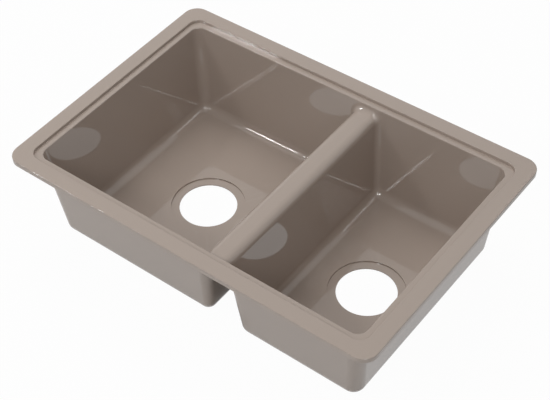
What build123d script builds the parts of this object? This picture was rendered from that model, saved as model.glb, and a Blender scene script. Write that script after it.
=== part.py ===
from build123d import *
from math import radians, tan
import os

# Double bowl drop-in kitchen sink: one glossy moulded shell with a flat rim, a lowered ledge
# and two bowls side by side, a sealing strip under the rim, and eight swing-out clamps on
# studs that pull the rim down onto the worktop. Millimetres, +Z up. X runs along the long
# side and Y from front to back; z = 0 is the underside of the bowls, where the sink stands.

# ---- Rim ----
rim_length = 635.0
rim_width = 431.8
sink_height = 165.1
rim_corner_radius = 23.0
wall = 3.2
lip_drop = 8.5
rim_edge_round = 1.3
lip_foot_round = 0.8

# ---- Ledge: a narrow shelf just inside the rim that carries a flush cover ----
step_inset = 24.0
step_drop = 5.1
step_corner_radius = 17.0
step_edge_round = 1.1
ledge_width = 9.9

# ---- Bowls ----
draft_angle = 5.4
bowl_corner_radius = 16.0
floor_round = 15.0
opening_round = 1.6
floor_thickness = 4.0

# ---- Divider between the bowls ----
divider_centre_x = 44.2
divider_width = 37.3
divider_draft_angle = 4.2
divider_drop = 11.6
divider_round = 13.0
divider_corner_round = 10.0

# ---- Drains ----
drain_diameter = 90.0
drain_seat_diameter = 115.5
drain_seat_depth = 2.2
left_drain_shift_x = 5.5
right_drain_shift_x = 3.1
drain_shift_y = -4.8

# ---- Sealing strip inside the lip ----
seal_width = 8.0
seal_gap = 0.4
seal_proud = 1.0

# ---- Clamps: stud, arm, washer and wing nut at each station ----
clamp_inset = 22.5
clamp_end_inset = 112.5
stud_diameter = 5.0
stud_end_drop = 36.0
stud_head_flats = 8.0
stud_head_height = 3.0
stud_head_cover = 3.8
stud_tip_chamfer = 0.7
boss_diameter = 12.4
boss_drop = 14.0
web_thickness = 2.4
web_reach_out = 9.5
web_reach_along = 15.0
web_depth = 7.0
arm_gap = 0.3
arm_thickness = 2.0
arm_hub_diameter = 14.0
arm_reach = 25.0
arm_toe_width = 10.0
arm_flange_depth = 3.0
arm_flange_thickness = 1.5
arm_flange_start = 11.0
arm_flange_end = 21.0
arm_tooth = 2.2
washer_diameter = 12.0
washer_thickness = 1.0
turning_clearance = 0.08
thread_clearance = 0.05
nut_hub_diameter = 9.0
nut_hub_taper = 0.8
nut_hub_height = 4.5
nut_wing_span = 18.0
nut_wing_height = 9.0
nut_wing_thickness = 1.6
nut_wing_tip_radius = 2.6
nut_wing_root_gap = 0.7

# ---- Cutting blocks run past the faces they cut, and edges are found within a tolerance ----
overrun = 20.0
edge_tolerance = 0.01
arch_tolerance = 1.0

# ---- Values that follow from those above ----
opening_inset = step_inset + ledge_width
ledge_top = sink_height - step_drop
slope = tan(radians(draft_angle))
divider_slope = tan(radians(divider_draft_angle))
half_length = rim_length / 2 - opening_inset
half_width = rim_width / 2 - opening_inset
divider_top = ledge_top - divider_drop
floor_top = floor_thickness
stud_head_top = -wall - stud_head_cover
arm_top = -boss_drop - arm_gap
washer_top = arm_top - arm_thickness
nut_top = washer_top - washer_thickness


def rim_plan(inset, radius):
    """Rounded rectangle that follows the rim at a distance inside its edge."""
    return RectangleRounded(rim_length - 2 * inset, rim_width - 2 * inset, radius)


def rim_block(inset, radius, low, high):
    """Upright block over such a rectangle, between two heights."""
    return extrude(Pos(0, 0, low) * rim_plan(inset, radius), high - low)


def tapered_block(grow, radius, low, high):
    """Both bowls as one drafted block: their walls lean in as they go down."""
    sections = []
    for z in (low, high):
        lean = (z - ledge_top) * slope + grow
        plan = RectangleRounded(2 * (half_length + lean), 2 * (half_width + lean), radius)
        sections.append(Pos(0, 0, z) * plan)
    return loft(sections, ruled=True)


def divider_block(shrink, low):
    """Divider as a long bar with a rounded top and flanks that spread downwards."""
    top = divider_top - shrink
    foot = divider_width / 2 - shrink + (ledge_top - low) * divider_slope
    head = divider_width / 2 - shrink + (ledge_top - top) * divider_slope
    corners = [(-foot, low), (foot, low), (head, top), (-head, top)]
    profile = make_face(Polyline(*corners, close=True))
    crown = profile.vertices().sort_by(Axis.Y)[-2:]
    profile = fillet(crown, divider_round - shrink)
    section = Plane.XZ * profile
    bar = extrude(section, rim_width, both=True)
    return Pos(divider_centre_x, 0, 0) * bar


def arch_edges(body, low):
    """Edges where the divider runs into the front and back walls, feet left out."""
    reach = divider_width / 2 + (ledge_top - low) * divider_slope + arch_tolerance
    wall_line = half_width - (ledge_top - low) * slope - arch_tolerance
    found = []
    for edge in body.edges():
        box = edge.bounding_box()
        near = abs(edge.center().Y) > wall_line
        inside = box.min.X > divider_centre_x - reach and box.max.X < divider_centre_x + reach
        if near and inside and box.max.Z > low + arch_tolerance:
            found.append(edge)
    return found


def bowl_space():
    """Room inside both bowls, above the divider and up past the ledge."""
    space = tapered_block(0, bowl_corner_radius, floor_top, ledge_top + overrun)
    space -= divider_block(0, floor_top - overrun)
    space = fillet(space.edges().group_by(Axis.Z)[0], floor_round)
    return fillet(arch_edges(space, floor_top), divider_corner_round)


def bowl_skin():
    """Outside of both bowls, with the open gap between them under the divider."""
    skin = tapered_block(wall, bowl_corner_radius + wall, 0, ledge_top + overrun)
    skin -= divider_block(wall, -overrun)
    skin = fillet(skin.edges().group_by(Axis.Z)[0], floor_round + wall)
    skin = fillet(arch_edges(skin, 0), divider_corner_round + wall)
    return split(skin, Plane.XY.offset(ledge_top - wall / 2), keep=Keep.BOTTOM)


def drain_centres():
    """Centre of each drain, a little in front of the middle of its bowl floor."""
    lean = (ledge_top - floor_top) * slope
    outer = half_length - lean
    near = divider_width / 2 + (ledge_top - floor_top) * divider_slope
    left = (-outer + divider_centre_x - near) / 2
    right = (outer + divider_centre_x + near) / 2
    places = (left + left_drain_shift_x, right + right_drain_shift_x)
    return [(x, drain_shift_y) for x in places]


def clamp_stations():
    """Name and place of each clamp; local -Y points out over the rim, Z = 0 at the rim top."""
    along = rim_width / 2 - clamp_inset
    across = rim_length / 2 - clamp_inset
    outer = rim_length / 2 - clamp_end_inset
    spots = {}
    for end, shift in (("left", -outer), ("middle", 0), ("right", outer)):
        spots["front_" + end] = (shift, -along, 0)
        spots["back_" + end] = (shift, along, 180)
    spots["left"] = (-across, 0, -90)
    spots["right"] = (across, 0, 90)
    return {name: Pos(x, y, sink_height) * Rot(0, 0, turn) for name, (x, y, turn) in spots.items()}


def boss():
    """Moulded boss under the rim with its webs, before the stud's pocket is cut."""
    under = -wall / 2
    post = extrude(Pos(0, 0, -boss_drop) * Circle(boss_diameter / 2), boss_drop + under)
    web_foot = -wall - web_depth
    web_plan = Rectangle(web_thickness, 2 * web_reach_out)
    out_web = extrude(Pos(0, 0, web_foot) * web_plan, under - web_foot)
    foot = -boss_drop + web_thickness
    corners = [(-web_reach_along, under), (web_reach_along, under)]
    corners += [(boss_diameter / 2, foot), (-boss_diameter / 2, foot)]
    side = Plane.XZ * make_face(Polyline(*corners, close=True))
    gusset = extrude(side, web_thickness / 2, both=True)
    return post + out_web + gusset


def stud():
    """Threaded stud with a hexagonal head that is moulded into its boss."""
    length = stud_head_top + stud_end_drop
    shank = extrude(Pos(0, 0, -stud_end_drop) * Circle(stud_diameter / 2), length)
    shank = chamfer(shank.edges().group_by(Axis.Z)[0], stud_tip_chamfer)
    hexagon = RegularPolygon(stud_head_flats / 2, 6, major_radius=False)
    head = extrude(Pos(0, 0, stud_head_top - stud_head_height) * hexagon, stud_head_height)
    return shank + head


def arm():
    """Pressed steel arm: round hub on the stud, stiffened sides and a toothed toe."""
    low = arm_top - arm_thickness
    toe = Pos(arm_reach - arm_toe_width / 2, 0) * Rectangle(arm_toe_width, arm_toe_width)
    plan = make_hull(Circle(arm_hub_diameter / 2).edges() + toe.edges())
    plate = extrude(Pos(0, 0, low) * plan, arm_thickness)
    rim = plan - offset(plan, -arm_flange_thickness)
    length = arm_flange_end - arm_flange_start
    window = Pos((arm_flange_end + arm_flange_start) / 2, 0) * Rectangle(length, arm_hub_diameter)
    sides = extrude(Pos(0, 0, low - arm_flange_depth) * (rim & window), arm_flange_depth)
    notch = RegularPolygon(arm_tooth, 3, rotation=180)
    notches = [Pos(arm_reach, side * arm_toe_width / 4, low) * notch for side in (-1, 1)]
    hole = Pos(0, 0, low) * Circle(stud_diameter / 2 + turning_clearance)
    body = plate + sides
    for cut in notches + [hole]:
        body -= extrude(cut, arm_thickness)
    return body


def washer():
    """Flat washer between the arm and its wing nut."""
    ring = Circle(washer_diameter / 2) - Circle(stud_diameter / 2 + turning_clearance)
    return extrude(Pos(0, 0, washer_top - washer_thickness) * ring, washer_thickness)


def wing_nut():
    """Wing nut, hub up against the washer and its two ears spread along the wall."""
    foot = Pos(0, 0, -nut_hub_height) * Circle(nut_hub_diameter / 2 - nut_hub_taper)
    hub = loft([foot, Circle(nut_hub_diameter / 2)])
    root_height = nut_hub_height - 2 * nut_wing_root_gap
    root = Pos(nut_hub_diameter / 4, -nut_hub_height / 2) * Rectangle(nut_hub_diameter / 2, root_height)
    tip_x = nut_wing_span / 2 - nut_wing_tip_radius
    tip = Pos(tip_x, nut_wing_tip_radius - nut_wing_height) * Circle(nut_wing_tip_radius)
    ear = make_hull(root.edges() + tip.edges())
    blade = extrude(Plane.XZ * ear, nut_wing_thickness / 2, both=True)
    bore = Cylinder(stud_diameter / 2 + thread_clearance, 4 * nut_wing_height)
    return Pos(0, 0, nut_top) * (hub + blade + mirror(blade, Plane.YZ) - bore)


def seal():
    """Foam strip stuck under the rim just inside the lip, standing a little proud of it."""
    near = wall + seal_gap
    low = sink_height - lip_drop - seal_proud
    high = sink_height - wall
    ring = rim_plan(near, rim_corner_radius - near)
    ring -= rim_plan(near + seal_width, rim_corner_radius - near - seal_width)
    return extrude(Pos(0, 0, low) * ring, high - low)


def rim_deck():
    """Flat rim with its turned-down lip, and the skin under the lowered ledge."""
    lip_foot = sink_height - lip_drop
    deck = rim_block(0, rim_corner_radius, lip_foot, sink_height)
    top_edges = deck.edges().group_by(Axis.Z)[-1]
    deck = fillet(top_edges, rim_edge_round)
    hollow_radius = rim_corner_radius - wall
    deck -= rim_block(wall, hollow_radius, lip_foot - overrun, sink_height - wall)
    deck = fillet(deck.edges().group_by(Axis.Z)[0], lip_foot_round)
    shelf_low = ledge_top - wall
    shelf = rim_block(step_inset - wall, step_corner_radius + wall, shelf_low, sink_height - wall)
    return deck + shelf


def round_loop(body, plan, height, radius):
    """Rounds the closed edge of a body that follows a centred plan at one height."""
    half = plan.bounding_box().size / 2
    loop = []
    for edge in body.edges():
        box = edge.bounding_box()
        level = max(abs(box.min.Z - height), abs(box.max.Z - height)) < edge_tolerance
        middle = edge.center()
        inside_x = abs(middle.X) < half.X + edge_tolerance
        inside_y = abs(middle.Y) < half.Y + edge_tolerance
        if level and inside_x and inside_y:
            loop.append(edge)
    return fillet(loop, radius)


def sink_moulding():
    """The one-piece shell: rim, ledge, both bowls, divider, drain seats and stud bosses."""
    body = rim_deck() + bowl_skin()
    for place in clamp_stations().values():
        body += place * boss()
    body -= rim_block(step_inset, step_corner_radius, ledge_top, sink_height + overrun)
    body -= bowl_space()
    for x, y in drain_centres():
        seat = Pos(x, y, floor_top) * Cylinder(drain_seat_diameter / 2, 2 * drain_seat_depth)
        hole = Pos(x, y, floor_top) * Cylinder(drain_diameter / 2, 4 * floor_thickness)
        body = body - seat - hole
    for place in clamp_stations().values():
        body -= place * stud()
    step_top = rim_plan(step_inset, step_corner_radius)
    body = round_loop(body, step_top, sink_height, step_edge_round)
    opening = rim_plan(opening_inset, bowl_corner_radius)
    return round_loop(body, opening, ledge_top, opening_round)


os.makedirs("parts", exist_ok=True)
stations = clamp_stations()
pieces = {"sink_moulding": sink_moulding(), "rim_seal": seal()}
pieces["stud_set"] = Compound([place * stud() for place in stations.values()])
for name, place in stations.items():
    pieces["clamp_arm_" + name] = place * arm()
    pieces["washer_" + name] = place * washer()
    pieces["wing_nut_" + name] = place * wing_nut()
for name, piece in pieces.items():
    export_step(piece, "parts/" + name + ".step")
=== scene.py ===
# %% [markdown]
# # A double bowl kitchen sink, dressed around its frame
#
# The sink is one glossy moulding in warm grey plastic: a flat rim, a narrow ledge just inside it,
# a wide bowl, a narrow bowl and two open drain holes. Under the rim sit a strip of black foam and
# eight steel clamps, each with a stud, a pressed arm, a washer and a wing nut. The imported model
# already holds every piece at its real size. So this script loads it, keeps its shapes where they
# are right, and spends its effort on surfaces, on the small steel parts and on the light.
# Everything is in metres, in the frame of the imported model.

# %% Load the frame and note its size
import math

import bmesh
import bpy
from mathutils import Matrix, Vector


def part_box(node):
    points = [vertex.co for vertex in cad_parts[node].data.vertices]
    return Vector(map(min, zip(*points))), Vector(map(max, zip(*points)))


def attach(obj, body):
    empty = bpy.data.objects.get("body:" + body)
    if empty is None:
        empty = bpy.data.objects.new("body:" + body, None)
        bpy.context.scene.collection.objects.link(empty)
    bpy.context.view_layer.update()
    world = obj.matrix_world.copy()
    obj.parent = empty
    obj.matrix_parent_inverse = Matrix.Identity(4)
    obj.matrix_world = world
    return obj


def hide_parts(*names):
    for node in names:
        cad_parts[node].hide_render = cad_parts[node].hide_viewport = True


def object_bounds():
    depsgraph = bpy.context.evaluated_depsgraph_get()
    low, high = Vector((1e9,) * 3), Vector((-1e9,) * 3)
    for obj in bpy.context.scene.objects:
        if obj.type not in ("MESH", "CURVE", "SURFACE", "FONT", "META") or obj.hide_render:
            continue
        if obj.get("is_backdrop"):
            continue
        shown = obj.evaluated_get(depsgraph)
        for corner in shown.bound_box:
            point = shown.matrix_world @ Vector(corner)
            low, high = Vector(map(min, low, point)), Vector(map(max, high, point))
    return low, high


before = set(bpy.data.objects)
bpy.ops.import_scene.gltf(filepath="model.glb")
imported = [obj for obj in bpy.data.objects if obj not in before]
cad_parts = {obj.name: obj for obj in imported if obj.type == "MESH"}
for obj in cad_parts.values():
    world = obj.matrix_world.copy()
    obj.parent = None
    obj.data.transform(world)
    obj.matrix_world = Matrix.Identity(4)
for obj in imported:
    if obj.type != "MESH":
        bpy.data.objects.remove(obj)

MM = 0.001
node_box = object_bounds()
size = node_box[1] - node_box[0]
print("frame: %.0f x %.0f x %.0f mm" % tuple(v / MM for v in size))

# %% [markdown]
# ## The camera
#
# The picture looks down into the bowls from the front right, about 46 degrees above the floor,
# with the head of the camera leaning a little. A long lens keeps the far edge nearly as long as
# the near one. The sink isn't in the middle of the picture's own axis, so the lens is shifted a
# little instead of being turned, which would change how the edges converge.

# %% Camera at the photograph's viewing angle
CAMERA_PLACE = (0.8602, -1.0608, 1.5050)
CAMERA_TURN_DEG = (44.086, 2.875, 38.455)
CAMERA_LENS_MM = 87.78
CAMERA_SENSOR_MM = 36.0
CAMERA_SHIFT = (0.0780, -0.0088)
CAMERA_CLIP = (0.01, 100.0)


def put_in_scene(name, data):
    """Makes an object for a camera, lamp or mesh and puts it in the scene."""
    made = bpy.data.objects.new(name, data)
    bpy.context.collection.objects.link(made)
    return made


lens = bpy.data.cameras.new("viewpoint")
lens.lens = CAMERA_LENS_MM
lens.sensor_width = CAMERA_SENSOR_MM
lens.shift_x, lens.shift_y = CAMERA_SHIFT
lens.clip_start, lens.clip_end = CAMERA_CLIP
camera = put_in_scene("viewpoint", lens)
camera.location = CAMERA_PLACE
camera.rotation_euler = [math.radians(v) for v in CAMERA_TURN_DEG]
bpy.context.scene.camera = camera
bpy.context.scene.view_settings.view_transform = "Standard"
print("camera stands %.2f m from the sink" % Vector(CAMERA_PLACE).length)

# %% [markdown]
# ## Small helpers for materials
#
# A material is a graph of nodes. Writing each node and each link out takes four lines, so a few
# helpers do it. One adds a node and sets its inputs by name, where a value that is itself a socket
# becomes a link. Others add, subtract and multiply, so that a sum in the graph reads like a sum.
# The last ones start an empty material and blend two shaders.

# %% Helpers that add nodes and link them
def feed(tree, socket, value):
    """Links a value that is a socket, and sets any other value on the input itself."""
    if isinstance(value, bpy.types.NodeSocket):
        tree.links.new(value, socket)
    else:
        socket.default_value = value


def add(tree, kind, settings=None, **inputs):
    """Adds a node, sets its properties, and sets or links its inputs by name."""
    made = tree.nodes.new(kind)
    for name, value in (settings or {}).items():
        setattr(made, name, value)
    for name, value in inputs.items():
        feed(tree, made.inputs[name.replace("_", " ")], value)
    return made


def math_node(tree, operation, first, second=0.0):
    """Adds a Math node on two numbers or sockets and gives its result."""
    made = add(tree, "ShaderNodeMath", {"operation": operation})
    for socket, value in zip(made.inputs, (first, second)):
        feed(tree, socket, value)
    return made.outputs[0]


def plus(tree, first, second):
    return math_node(tree, "ADD", first, second)


def minus(tree, first, second):
    return math_node(tree, "SUBTRACT", first, second)


def times(tree, first, second):
    return math_node(tree, "MULTIPLY", first, second)


print("helpers for nodes and for sums of nodes are ready")

# %% Helpers that start a material, give places and blend shaders
def start_material(name):
    """Makes an empty node material and gives it with its tree and output node."""
    material = bpy.data.materials.new(name)
    material.use_nodes = True
    tree = material.node_tree
    tree.nodes.clear()
    output = tree.nodes.new("ShaderNodeOutputMaterial")
    return material, tree, output


def object_place(tree):
    """The point on the piece in metres, which stays with the piece when it moves."""
    return tree.nodes.new("ShaderNodeTexCoord").outputs["Object"]


def fades_in(tree, value, start, end):
    """0 up to the start, 1 past the end, and soft in between."""
    curve = {"interpolation_type": "SMOOTHSTEP"}
    ramp = add(tree, "ShaderNodeMapRange", curve, Value=value, From_Min=start, From_Max=end)
    return ramp.outputs["Result"]


def mix_shaders(tree, share, first, second):
    """Blends two shaders: at a share of 0 only the first shows, at 1 only the second."""
    mixed = add(tree, "ShaderNodeMixShader", Fac=share)
    tree.links.new(first.outputs[0], mixed.inputs[1])
    tree.links.new(second.outputs[0], mixed.inputs[2])
    return mixed


print("helpers for materials are ready")

# %% [markdown]
# ## Floor and surroundings
#
# The sink stands on white and has white all round. A lit white floor would come out grey in the
# picture, so the rays that the camera and the glossy plastic send out see mostly a plain white
# glow there. The rest of the floor's look is its own diffuse colour, which keeps the soft shadow.
# The drain holes show the same floor, and the bowl walls mirror it as pale ovals. One flat square,
# a fifth of a millimetre under the sink so that the two faces don't fight, is enough for it.

# %% Floor sheet
FLOOR_WIDTH = 24.0
FLOOR_GAP = 0.2 * MM


def finished_mesh(bm, name):
    """Turns a bmesh into a mesh and frees the bmesh."""
    mesh = bpy.data.meshes.new(name)
    bm.to_mesh(mesh)
    bm.free()
    return mesh


def make_floor():
    """A wide flat sheet just under the height that the sink stands on."""
    bm = bmesh.new()
    bmesh.ops.create_grid(bm, x_segments=1, y_segments=1, size=FLOOR_WIDTH / 2)
    bmesh.ops.translate(bm, verts=bm.verts, vec=(0.0, 0.0, -FLOOR_GAP))
    return put_in_scene("floor", finished_mesh(bm, "floor"))


floor = make_floor()
print("floor is", FLOOR_WIDTH, "m wide")

# %% [markdown]
# ### What the floor shows to whom
#
# A Light Path node tells a material what kind of ray has arrived. Camera, mirror and glass rays
# get the glow, and the rays that carry light get the paper. The floor in the narrow gap between
# the bowls gets hardly any light, so a painted shade sits there: for mirror rays the glow fades
# out over a fixed patch, and the gap's sides look as dark as they are. From below, the floor is
# clear, so that the clamps under the rim can be looked at too.

# %% Masks for the floor: who looks, and where the painted shade in the gap is
GAP_MIDDLE_X = 44.2 * MM
GAP_HALF_WIDTH = (8 * MM, 34 * MM)
GAP_HALF_LENGTH = (150 * MM, 205 * MM)


def seen_ray(tree):
    """1 for camera, glossy and transmission rays, 0 for the rays that carry light."""
    path = tree.nodes.new("ShaderNodeLightPath").outputs
    mirror = math_node(tree, "MAXIMUM", path["Is Camera Ray"], path["Is Glossy Ray"])
    return math_node(tree, "MAXIMUM", mirror, path["Is Transmission Ray"])


def outside_painted_gap_shade(tree):
    """Painted shade on the floor: 0 in the gap between the bowls, where shade falls, 1 away from
    it.
    """
    spot = add(tree, "ShaderNodeSeparateXYZ", Vector=object_place(tree)).outputs
    across = math_node(tree, "ABSOLUTE", minus(tree, spot["X"], GAP_MIDDLE_X))
    along = math_node(tree, "ABSOLUTE", spot["Y"])
    beside = fades_in(tree, across, *GAP_HALF_WIDTH)
    beyond = fades_in(tree, along, *GAP_HALF_LENGTH)
    return math_node(tree, "MAXIMUM", beside, beyond)


print("the gap's middle is %.1f mm right of the sink's" % (GAP_MIDDLE_X / MM))

# %% White floor that glows for camera, mirror and glass rays, with a painted shade in the gap
FLOOR_COLOR = (0.60, 0.60, 0.60, 1.0)
FLOOR_GLOW_SHARE = 0.97
WHITE = (1.0, 1.0, 1.0, 1.0)

floor_material, tree, output = start_material("white_floor")
is_mirror = tree.nodes.new("ShaderNodeLightPath").outputs["Is Glossy Ray"]
# painted shade: mirror rays see no glow on the floor in the gap between the bowls
painted_gap_shade = times(tree, is_mirror, minus(tree, 1.0, outside_painted_gap_shade(tree)))
glow_share = times(tree, seen_ray(tree), FLOOR_GLOW_SHARE)
glow_share = times(tree, glow_share, minus(tree, 1.0, painted_gap_shade))
paper = add(tree, "ShaderNodeBsdfDiffuse", Color=FLOOR_COLOR)
glow = add(tree, "ShaderNodeEmission", Color=WHITE, Strength=1.0)
clear = tree.nodes.new("ShaderNodeBsdfTransparent")
from_below = tree.nodes.new("ShaderNodeNewGeometry").outputs["Backfacing"]
from_above = mix_shaders(tree, glow_share, paper, glow)
whole = mix_shaders(tree, from_below, from_above, clear)
tree.links.new(whole.outputs[0], output.inputs["Surface"])
floor.data.materials.append(floor_material)
floor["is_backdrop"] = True
print("floor glow:", FLOOR_GLOW_SHARE)

# %% [markdown]
# ### The white room
#
# The world is the room far away. What sees it, as the camera and the gloss do, should see full
# white. What is lit by it needs much less, because the lamps add the rest. The same ray mask
# chooses between the two, so the background stays white whatever the light on the sink is.

# %% World light, dimmer for the rays that light the sink than for those that see it
WORLD_LIGHT = 0.38

world = bpy.data.worlds.new("white_room")
bpy.context.scene.world = world
world.use_nodes = True
tree = world.node_tree
tree.nodes.clear()
output = tree.nodes.new("ShaderNodeOutputWorld")
lit = add(tree, "ShaderNodeBackground", Color=WHITE, Strength=WORLD_LIGHT)
seen = add(tree, "ShaderNodeBackground", Color=WHITE, Strength=1.0)
mixed = mix_shaders(tree, seen_ray(tree), lit, seen)
tree.links.new(mixed.outputs[0], output.inputs["Surface"])
print("world light", WORLD_LIGHT)

# %% [markdown]
# ## Lamps
#
# The bowls' rounded floor edges are curved mirrors: each draws a lamp out into a thin bright line,
# and the flat walls mirror those lines once more. Where the lines lie gives the lamps' places.
# A low panel on the left draws the bar along the back edge of the left bowl's floor, a tall strip
# on the right the lines along both bowls' left floor edges, and a small lamp in front their mirror
# images on the walls. Lamps bright enough for that would also burn out the plastic's own colour,
# so each one is a pair: a soft lamp that only lights, and in front of it one that only gloss can
# see. Two more panels only light: a wide one overhead for the rim and the floors, and a weak one
# low in front for the outer walls.
#
# The strength is given as the share of the light that a lamp lays on a level surface. All the soft
# lamps and the world add up to about one, so a colour renders about as it is written.

# %% A lamp by its direction, its width in degrees and its share of the light
SINK_MIDDLE = Vector((0.0, 0.0, 0.10))
LAMP_DISTANCE = 2.5
LAMP_STEP = 0.05


def panel(name, azimuth, elevation, distance, wide, high, share):
    """A lamp facing the sink, so many degrees wide and high, with that share on the level."""
    lamp = bpy.data.lights.new(name, "AREA")
    lamp.shape = "RECTANGLE"
    lamp.size = 2 * distance * math.tan(math.radians(wide / 2))
    lamp.size_y = 2 * distance * math.tan(math.radians(high / 2))
    side, up = math.radians(azimuth), math.radians(elevation)
    away = Vector((math.cos(up) * math.cos(side), math.cos(up) * math.sin(side), math.sin(up)))
    lamp.energy = share * math.pi * math.pi * distance * distance / away.z
    made = put_in_scene(name, lamp)
    made.location = SINK_MIDDLE + distance * away
    made.rotation_euler = (-away).to_track_quat("-Z", "Y").to_euler()
    return made


def soft_panel(name, azimuth, elevation, wide, high, share):
    """A lamp that lights the sink and isn't mirrored in it."""
    soft = panel(name, azimuth, elevation, LAMP_DISTANCE, wide, high, share)
    soft.visible_glossy = False
    return soft


def pair(name, azimuth, elevation, wide, high, share, sheen):
    """One studio lamp as two: a soft one that lights, and one that only gloss shows."""
    soft = soft_panel(name, azimuth, elevation, wide, high, share)
    seen = panel(name + "_seen", azimuth, elevation, LAMP_DISTANCE - LAMP_STEP, wide, high, sheen)
    seen.visible_diffuse = False
    return soft


print("lamps stand %.2f m away, their mirrored twins %.2f m nearer" % (LAMP_DISTANCE, LAMP_STEP))

# %% The lamps: azimuth, elevation, width and height in degrees, then shares of the light
overhead = soft_panel("overhead_panel", 140.0, 64.0, 32.0, 32.0, share=0.37)
front = soft_panel("front_panel", 272.0, 20.0, 20.0, 16.0, share=0.018)
strip = pair("tall_strip", 324.0, 46.0, 7.0, 30.0, share=0.03, sheen=0.30)
middle = pair("middle_panel", 275.0, 45.0, 12.0, 9.0, share=0.11, sheen=0.24)
left = pair("left_panel", 221.0, 40.5, 15.0, 3.0, share=0.07, sheen=0.18)
print("lamps:", overhead.name, front.name, strip.name, middle.name, left.name)

# %% [markdown]
# ## Effects that several finishes share
#
# The plastic and the four kinds of steel part look different, but the same three things happen to
# them: the colour drifts a little from place to place, fine marks run over the surface, and sharp
# edges rub bright. The foam shares only the drift. Each effect is a node group, built once. A
# material places the group and gives it its own sizes and amounts. The groups give only numbers
# that change over the surface, and the Principled shader stays in each material, where an export
# can read it.

# %% Helpers that start a node group and place it
def start_group(name, sockets_in, sockets_out):
    """Makes a shader node group with a place, named number inputs and named outputs."""
    group = bpy.data.node_groups.new(name, "ShaderNodeTree")
    sockets = group.interface
    sockets.new_socket("Place", in_out="INPUT", socket_type="NodeSocketVector")
    for label, value in sockets_in.items():
        socket = sockets.new_socket(label, in_out="INPUT", socket_type="NodeSocketFloat")
        socket.default_value = value
    for label in sockets_out:
        sockets.new_socket(label, in_out="OUTPUT", socket_type="NodeSocketFloat")
    given = group.nodes.new("NodeGroupInput").outputs
    result = group.nodes.new("NodeGroupOutput").inputs
    return group, given, result


def use_group(tree, group, place, **values):
    """Places a node group in a material with this finish's own values."""
    return add(tree, "ShaderNodeGroup", {"node_tree": group}, Place=place, **values).outputs


def noise(tree, place, scale, detail, **more):
    """The value of a Noise texture, which swings around one half."""
    made = add(tree, "ShaderNodeTexNoise", Vector=place, Scale=scale, Detail=detail, **more)
    return made.outputs["Fac"]


print("helpers for node groups are ready")

# %% [markdown]
# ### Colour drift
#
# No batch of plastic, foam or zinc has one even tone. Broad clouds from a coarse noise and a faint
# speckle from a fine one are added up, and turned into a tone that swings around 1. A colour is
# multiplied by it. The clouds are given out too, because the gloss drifts with them.

# %% Colour drift: broad clouds and a fine speckle, as a tone around 1
CLOUD_PART, SPECKLE_PART = 1.3, 0.7


def make_tone_drift():
    """The group that gives a tone around 1, and the clouds that it comes from."""
    sockets = {"Cloud Scale": 6.0, "Speckle Scale": 900.0, "Amount": 0.02}
    group, given, result = start_group("tone_drift", sockets, ["Tone", "Cloud"])
    cloud = noise(group, given["Place"], given["Cloud Scale"], 3.0, Roughness=0.55)
    speckle = noise(group, given["Place"], given["Speckle Scale"], 1.0)
    both = plus(group, times(group, cloud, CLOUD_PART), times(group, speckle, SPECKLE_PART))
    swing = times(group, minus(group, both, 1.0), times(group, given["Amount"], 2.0))
    group.links.new(plus(group, swing, 1.0), result["Tone"])
    group.links.new(cloud, result["Cloud"])
    return group


tone_drift = make_tone_drift()
print("group:", tone_drift.name)

# %% [markdown]
# ### Fine marks
#
# Wiping and handling leave hair scratches, long and thin and mostly along one way. A noise that is
# stretched along that way has long islands, and the thin line where it crosses its middle value
# is a scratch. A second noise bends the lines, so they aren't ruled, and a third keeps them to
# some patches. The same group gives a fine grain, which is another noise.

# %% Fine marks: long thin scratches where a stretched noise crosses its middle value
BEND_SCALE, BEND_REACH = 9.0, 0.05
PATCH_SCALE, PATCH_EDGES = 21.0, (0.52, 0.66)


def bent_place(group, place):
    """The place, pushed about by a broad noise."""
    push = add(group, "ShaderNodeTexNoise", Vector=place, Scale=BEND_SCALE, Detail=1.0)
    bend = add(group, "ShaderNodeVectorMath", {"operation": "SCALE"}, Scale=BEND_REACH)
    group.links.new(push.outputs["Color"], bend.inputs[0])
    moved = add(group, "ShaderNodeVectorMath", {"operation": "ADD"})
    group.links.new(place, moved.inputs[0])
    group.links.new(bend.outputs[0], moved.inputs[1])
    return moved.outputs[0]


def make_fine_marks():
    """The group that gives scratches, 1 on a scratch and 0 beside it, and a grain."""
    sockets = {"Scale": 60.0, "Stretch": 14.0, "Thinness": 0.02, "Grain Scale": 2500.0}
    group, given, result = start_group("fine_marks", sockets, ["Marks", "Grain"])
    spot = add(group, "ShaderNodeSeparateXYZ", Vector=bent_place(group, given["Place"])).outputs
    pressed = times(group, plus(group, spot["X"], spot["Y"]), given["Stretch"])
    pulled = add(group, "ShaderNodeCombineXYZ", X=pressed, Y=spot["Y"], Z=spot["Z"])
    lines = noise(group, pulled.outputs[0], given["Scale"], 0.0)
    off = math_node(group, "ABSOLUTE", minus(group, lines, 0.5))
    steps_off = math_node(group, "DIVIDE", off, given["Thinness"])
    on_line = minus(group, 1.0, math_node(group, "MINIMUM", steps_off, 1.0))
    patches = fades_in(group, noise(group, given["Place"], PATCH_SCALE, 1.0), *PATCH_EDGES)
    group.links.new(times(group, on_line, patches), result["Marks"])
    group.links.new(noise(group, given["Place"], given["Grain Scale"], 2.0), result["Grain"])
    return group


fine_marks = make_fine_marks()
print("group:", fine_marks.name)

# %% [markdown]
# ### Edge wear
#
# Edges that stand out are rubbed first. Cycles knows how much a point stands out as Pointiness, a
# value near one half on flat faces and more on outer edges. It is turned into a mask between two
# limits, and a noise breaks the mask up, because wear is never an even line.

# %% Edge wear: corners that stand out, broken up by a noise
BREAK_EDGES = (0.38, 0.60)


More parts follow.
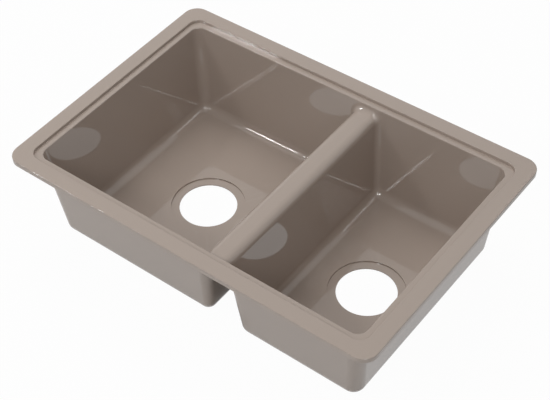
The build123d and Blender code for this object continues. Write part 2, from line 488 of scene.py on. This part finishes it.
def make_edge_wear():
    """The group that gives wear, 1 on a rubbed edge and 0 elsewhere."""
    sockets = {"Start": 0.52, "End": 0.62, "Break Scale": 120.0}
    group, given, result = start_group("edge_wear", sockets, ["Wear"])
    point = group.nodes.new("ShaderNodeNewGeometry").outputs["Pointiness"]
    edge = fades_in(group, point, given["Start"], given["End"])
    broken = noise(group, given["Place"], given["Break Scale"], 2.0)
    group.links.new(times(group, edge, fades_in(group, broken, *BREAK_EDGES)), result["Wear"])
    return group


edge_wear = make_edge_wear()
print("group:", edge_wear.name)

# %% [markdown]
# ## One recipe for the finishes
#
# Plastic and zinc are built in the same order. A base colour is multiplied by the drifting tone
# and pulled towards a paler colour where an edge is worn. The roughness is a base value that the
# clouds, the marks and the wear raise a little. The marks and the grain are a height for one Bump
# node. What makes plastic or zinc of it are the numbers.

# %% The recipe as a function
COLOR_A, COLOR_B, COLOR_OUT = 6, 7, 2  # the places of a Mix node's colour sockets


def toned_color(tree, color, tone):
    """A plain colour made darker or lighter by a tone around 1."""
    made = add(tree, "ShaderNodeVectorMath", {"operation": "SCALE"}, Scale=tone)
    made.inputs[0].default_value = color
    return made.outputs[0]


def finish(
    name, color, worn_color, roughness, drift, marks, wear, swing, bump, depth,
    mark_depth=0.3, grain_depth=0.3, metallic=0.0, wear_rough=0.1,
):
    """A Principled material from the three shared effects."""
    material, tree, output = start_material(name)
    place = object_place(tree)
    tone = use_group(tree, tone_drift, place, **drift)
    lines = use_group(tree, fine_marks, place, **marks)
    rubbed = use_group(tree, edge_wear, place, **wear)["Wear"]
    mixed = add(tree, "ShaderNodeMix", {"data_type": "RGBA"}, Factor=rubbed)
    tree.links.new(toned_color(tree, color, tone["Tone"]), mixed.inputs[COLOR_A])
    mixed.inputs[COLOR_B].default_value = (*worn_color, 1.0)
    rough = plus(tree, roughness, times(tree, tone["Cloud"], swing))
    rough = plus(tree, rough, times(tree, lines["Marks"], 2 * swing))
    rough = plus(tree, rough, times(tree, rubbed, wear_rough))
    grain = times(tree, lines["Grain"], grain_depth)
    height = minus(tree, grain, times(tree, lines["Marks"], mark_depth))
    relief = add(tree, "ShaderNodeBump", Strength=bump, Distance=depth, Height=height)
    shader = add(
        tree, "ShaderNodeBsdfPrincipled", Base_Color=mixed.outputs[COLOR_OUT], Roughness=rough,
        Metallic=metallic, Normal=relief.outputs[0],
    )
    tree.links.new(shader.outputs[0], output.inputs["Surface"])
    return material


print("the recipe mixes", tone_drift.name, fine_marks.name, edge_wear.name)

# %% [markdown]
# ## Glossy taupe plastic
#
# The moulding is a warm grey plastic from a polished mould. It is so smooth that the walls show
# the drain holes as crisp ovals, so its roughness is a few hundredths and its bump hardly there: a
# faint unevenness and a few hair scratches that catch the lamps. The colour drifts by about one
# part in a hundred, as thick and thin plastic do, and the rim's edges are slightly paler.

# %% Plastic of the moulding
TAUPE = (0.374, 0.309, 0.265)
WORN_TAUPE = (0.41, 0.35, 0.305)
plastic = finish(
    "taupe_plastic_gloss", TAUPE, WORN_TAUPE, roughness=0.018,
    drift={"Cloud_Scale": 5.0, "Speckle_Scale": 700.0, "Amount": 0.014},
    marks={"Scale": 14.0, "Stretch": 18.0, "Thinness": 0.006, "Grain_Scale": 420.0},
    wear={"Start": 0.58, "End": 0.75, "Break_Scale": 40.0}, wear_rough=0.03,
    swing=0.016, mark_depth=0.5, grain_depth=0.25, bump=0.02, depth=0.02 * MM,
)
print("plastic:", plastic.name, TAUPE)

# %% [markdown]
# ## Black foam
#
# The strip under the rim is soft closed-cell foam rubber. It is nearly black, has little gloss,
# and its cut faces show small round cells. Voronoi cells give those: the distance to the nearest
# cell point is a ready-made height, low in the middle of each bubble.

# %% Foam of the sealing strip
FOAM_BLACK = (0.024, 0.024, 0.025)
CELLS_PER_METRE = 1500.0
CELL_DEPTH = 0.15 * MM


def make_foam():
    """Dull black foam with small cells."""
    material, tree, output = start_material("black_cell_foam")
    place = object_place(tree)
    tone = use_group(
        tree, tone_drift, place, Cloud_Scale=30.0, Speckle_Scale=1400.0, Amount=0.18,
    )
    cells = add(
        tree, "ShaderNodeTexVoronoi", {"feature": "F1"}, Vector=place, Scale=CELLS_PER_METRE,
    ).outputs["Distance"]
    relief = add(tree, "ShaderNodeBump", Strength=0.55, Distance=CELL_DEPTH, Height=cells)
    shader = add(
        tree, "ShaderNodeBsdfPrincipled", Base_Color=toned_color(tree, FOAM_BLACK, tone["Tone"]),
        Roughness=plus(tree, 0.82, times(tree, tone["Cloud"], 0.12)), Specular_IOR_Level=0.25,
        Normal=relief.outputs[0],
    )
    tree.links.new(shader.outputs[0], output.inputs["Surface"])
    return material


foam = make_foam()
print("foam:", foam.name)

# %% [markdown]
# ## Zinc-plated steel, four ways
#
# All the clamp parts have the same bright zinc, but they are made in different ways and it shows.
# The studs are rolled and the plating is thickest on them, so they are smooth and a touch blue.
# The arms are pressed from sheet, with die marks. The washers are stamped and tumbled. The wing
# nuts are cast, so under the zinc their skin is coarse and they are the dullest.

# %% Finishes of the steel parts
ZINC = {
    "worn_color": (0.80, 0.80, 0.79), "metallic": 1.0,
    "wear": {"Start": 0.53, "End": 0.63, "Break_Scale": 260.0},
}
stud_zinc = finish(
    "zinc_on_rolled_stud", (0.60, 0.62, 0.64), roughness=0.20,
    drift={"Cloud_Scale": 90.0, "Speckle_Scale": 2600.0, "Amount": 0.06},
    marks={"Scale": 120.0, "Stretch": 5.0, "Thinness": 0.03, "Grain_Scale": 3800.0},
    swing=0.10, bump=0.10, depth=0.02 * MM, **ZINC,
)
arm_zinc = finish(
    "zinc_on_pressed_arm", (0.57, 0.58, 0.58), roughness=0.27,
    drift={"Cloud_Scale": 70.0, "Speckle_Scale": 1500.0, "Amount": 0.09},
    marks={"Scale": 70.0, "Stretch": 12.0, "Thinness": 0.035, "Grain_Scale": 2200.0},
    swing=0.14, mark_depth=0.6, bump=0.22, depth=0.03 * MM, **ZINC,
)
washer_zinc = finish(
    "zinc_on_stamped_washer", (0.63, 0.64, 0.64), roughness=0.22,
    drift={"Cloud_Scale": 130.0, "Speckle_Scale": 2400.0, "Amount": 0.05},
    marks={"Scale": 160.0, "Stretch": 3.0, "Thinness": 0.05, "Grain_Scale": 3000.0},
    swing=0.09, mark_depth=0.5, bump=0.15, depth=0.02 * MM, **ZINC,
)
nut_zinc = finish(
    "zinc_on_cast_nut", (0.54, 0.55, 0.54), roughness=0.38,
    drift={"Cloud_Scale": 110.0, "Speckle_Scale": 1100.0, "Amount": 0.10},
    marks={"Scale": 90.0, "Stretch": 2.0, "Thinness": 0.02, "Grain_Scale": 1300.0},
    swing=0.14, grain_depth=1.0, bump=0.40, depth=0.06 * MM, **ZINC,
)
print("steel finishes:", stud_zinc.name, arm_zinc.name, washer_zinc.name, nut_zinc.name)

# %% [markdown]
# ## The moulding and the seal
#
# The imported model's moulding and seal already have their final shapes, with every round and seat
# in place. So they stay as they are, and only their material slots get the finished materials.

# %% The CAD nodes that stay get their finish
for node_name, material in (("sink_moulding", plastic), ("rim_seal", foam)):
    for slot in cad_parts[node_name].material_slots:
        slot.material = material
print("dressed as they are: sink_moulding, rim_seal")

# %% [markdown]
# ## Softened steel parts
#
# In the model an arm, a washer or a wing nut has knife edges. A real one has a small round on
# every edge from tumbling, and that round is what catches the light. So each is copied: the copy's
# loose triangles are merged, the flat faces are made whole again, and every sharp edge gets a
# narrow bevel. The copy takes the place of its CAD node, which is hidden, and hangs from an empty
# named after the node's body.

# %% Helpers that round the edges of a copy and shade it
MERGE_REACH = 0.002 * MM
FLAT_ANGLE_DEG = 1.0
SHARP_ANGLE_DEG = 28.0


def rounded_copy(node_name, width):
    """The node's mesh as a bmesh: merged, flat faces whole, sharp edges bevelled."""
    bm = bmesh.new()
    bm.from_mesh(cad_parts[node_name].data)
    bmesh.ops.remove_doubles(bm, verts=bm.verts, dist=MERGE_REACH)
    flat, sharp = math.radians(FLAT_ANGLE_DEG), math.radians(SHARP_ANGLE_DEG)
    bmesh.ops.dissolve_limit(bm, angle_limit=flat, verts=bm.verts, edges=bm.edges)
    edges = [e for e in bm.edges if len(e.link_faces) == 2 and e.calc_face_angle() > sharp]
    bmesh.ops.bevel(
        bm, geom=edges, offset=width, affect="EDGES", segments=2, profile=0.5, material=-1,
        clamp_overlap=True,
    )
    bmesh.ops.remove_doubles(bm, verts=bm.verts, dist=MERGE_REACH)
    bmesh.ops.recalc_face_normals(bm, faces=bm.faces)
    return bm


def shade(mesh, sharp_deg, material):
    """Smooth shading that keeps edges over that angle sharp, and one material."""
    mesh.shade_smooth()
    mesh.set_sharp_from_angle(angle=math.radians(sharp_deg))
    mesh.materials.clear()
    mesh.materials.append(material)


print("edges over %.0f degrees get a round" % SHARP_ANGLE_DEG)

# %% Copies of the arms, washers and wing nuts with rounded edges
STATIONS = (
    "front_left", "front_middle", "front_right", "back_left", "back_middle", "back_right",
    "left", "right",
)
STEEL_KINDS = (
    ("clamp_arm", 0.25 * MM, arm_zinc), ("washer", 0.15 * MM, washer_zinc),
    ("wing_nut", 0.25 * MM, nut_zinc),
)


def softened(node_name, body, width, material):
    """A copy of a CAD node with a small round on its sharp edges, in the node's place."""
    mesh = finished_mesh(rounded_copy(node_name, width), "soft_" + node_name)
    for layer in ("custom_normal", "sharp_edge", "sharp_face"):
        if layer in mesh.attributes:
            mesh.attributes.remove(mesh.attributes[layer])
    shade(mesh, 40.0, material)
    made = put_in_scene("soft_" + node_name, mesh)
    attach(made, body)
    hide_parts(node_name)
    return made


for station in STATIONS:
    for kind, width, material in STEEL_KINDS:
        name = kind + "_" + station
        made = softened(name, name, width, material)
        print(made.name, len(made.data.polygons), "faces")

# %% [markdown]
# ## Threaded studs
#
# The CAD studs are plain rods, because a thread's hundreds of small faces are no use to a
# collision shape. Here each stud gets its real M5 thread. One turn's profile is a single V: two
# short edges, root to crest to root, over one pitch. The spin operator sweeps it round and lifts
# it a little at every step, which draws the whole helix in one call. A hexagon head, sunk in the
# moulding, and a plain core rod complete the stud.

# %% Stud sizes, with the heights read from the CAD box
stud_low, stud_high = (Vector(v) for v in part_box("stud_set"))
STUD_PLACES_MM = (
    (-205.0, -193.4), (0.0, -193.4), (205.0, -193.4), (-205.0, 193.4), (0.0, 193.4),
    (205.0, 193.4), (-295.0, 0.0), (295.0, 0.0),
)
THREAD_RADIUS = 2.5 * MM
THREAD_TOP = 151.6 * MM
PITCH = 0.8 * MM
CREST_RADIUS = THREAD_RADIUS - 0.05 * PITCH
ROOT_RADIUS = THREAD_RADIUS - 0.55 * PITCH
CREST_SPAN = (0.42, 0.58)  # where the flat crest starts and ends, in parts of a pitch
TURN_STEPS = 20
HEAD_FLATS = 8.0 * MM
HEAD_HEIGHT = 3.0 * MM
TIP_LENGTH = 0.7 * MM
print("studs from %.1f to %.1f mm above the bowls' foot" % (stud_low.z / MM, stud_high.z / MM))

# %% One thread and its rod
def round_bar(bm, radius_low, radius_high, low, high, segments=24):
    """A closed upright bar between two heights."""
    bmesh.ops.create_cone(
        bm, cap_ends=True, segments=segments, radius1=radius_low, radius2=radius_high,
        depth=high - low, matrix=Matrix.Translation((0.0, 0.0, (low + high) / 2)),
    )


def thread_ridge(bm, start, turns):
    """The ridge of a thread: one V, swept up round the middle axis, its two ends closed."""
    crest_start, crest_end = CREST_SPAN
    profile = (
        (ROOT_RADIUS, 0.0), (CREST_RADIUS, crest_start), (CREST_RADIUS, crest_end),
        (ROOT_RADIUS, 1.0),
    )
    corners = [bm.verts.new((radius, 0.0, start + part * PITCH)) for radius, part in profile]
    first_end = [bm.edges.new(ends) for ends in zip(corners, corners[1:])]
    swept = bmesh.ops.spin(
        bm, geom=corners + first_end, cent=(0.0, 0.0, 0.0), axis=(0.0, 0.0, 1.0),
        dvec=(0.0, 0.0, PITCH / TURN_STEPS), angle=2 * math.pi * turns,
        steps=turns * TURN_STEPS, use_merge=False, use_duplicate=False,
    )
    last_end = [e for e in swept["geom_last"] if isinstance(e, bmesh.types.BMEdge)]
    for open_end in (first_end, last_end):
        bmesh.ops.contextual_create(bm, geom=open_end)


def threaded_stud(bm, low, high):
    """Head, shank, core, tip and thread of one stud, standing on the middle axis."""
    head_radius = HEAD_FLATS / math.sqrt(3)
    tip_top = low + TIP_LENGTH
    round_bar(bm, head_radius, head_radius, high - HEAD_HEIGHT, high, segments=6)
    round_bar(bm, THREAD_RADIUS, THREAD_RADIUS, THREAD_TOP, high - HEAD_HEIGHT / 2)
    round_bar(bm, ROOT_RADIUS, ROOT_RADIUS, tip_top, THREAD_TOP + PITCH)
    round_bar(bm, ROOT_RADIUS - TIP_LENGTH / 2, ROOT_RADIUS, low, tip_top)
    thread_ridge(bm, tip_top, int((THREAD_TOP - tip_top) / PITCH) - 1)


print("threads of %.1f mm pitch on %.0f mm studs" % (PITCH / MM, 2 * THREAD_RADIUS / MM))

# %% [markdown]
# ### Eight studs from one
#
# All eight studs are the same, and building a thread takes the most time here. So one is built,
# made a mesh, and that mesh is set down at each place and read into the whole.

# %% One stud made once, and its mesh set down at all eight places
def one_stud():
    """The mesh of a single stud on the middle axis."""
    bm = bmesh.new()
    threaded_stud(bm, stud_low.z, stud_high.z)
    bmesh.ops.remove_doubles(bm, verts=bm.verts, dist=MERGE_REACH)
    bmesh.ops.recalc_face_normals(bm, faces=bm.faces)
    return finished_mesh(bm, "one_stud")


def make_studs():
    """All the studs as one piece, fixed to the sink."""
    pattern = one_stud()
    whole = bmesh.new()
    for x, y in STUD_PLACES_MM:
        pattern.transform(Matrix.Translation((x * MM, y * MM, 0.0)))
        whole.from_mesh(pattern)
        pattern.transform(Matrix.Translation((-x * MM, -y * MM, 0.0)))
    mesh = finished_mesh(whole, "threaded_studs")
    shade(mesh, 32.0, stud_zinc)
    made = put_in_scene("threaded_studs", mesh)
    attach(made, "sink")
    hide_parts("stud_set")
    return made


studs = make_studs()
print("threaded studs:", len(studs.data.polygons), "faces")

# %% [markdown]
# ## Sizes and the end
#
# The dressed sink is meant to fill the same box as the imported one. Both boxes are measured, and
# the largest difference between them is printed.

# %% Sizes, and the end
low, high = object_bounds()
changes = [abs(a - b) / MM for a, b in zip((*low, *high), (*node_box[0], *node_box[1]))]
print("visual box grew by %.2f mm at most" % max(changes))
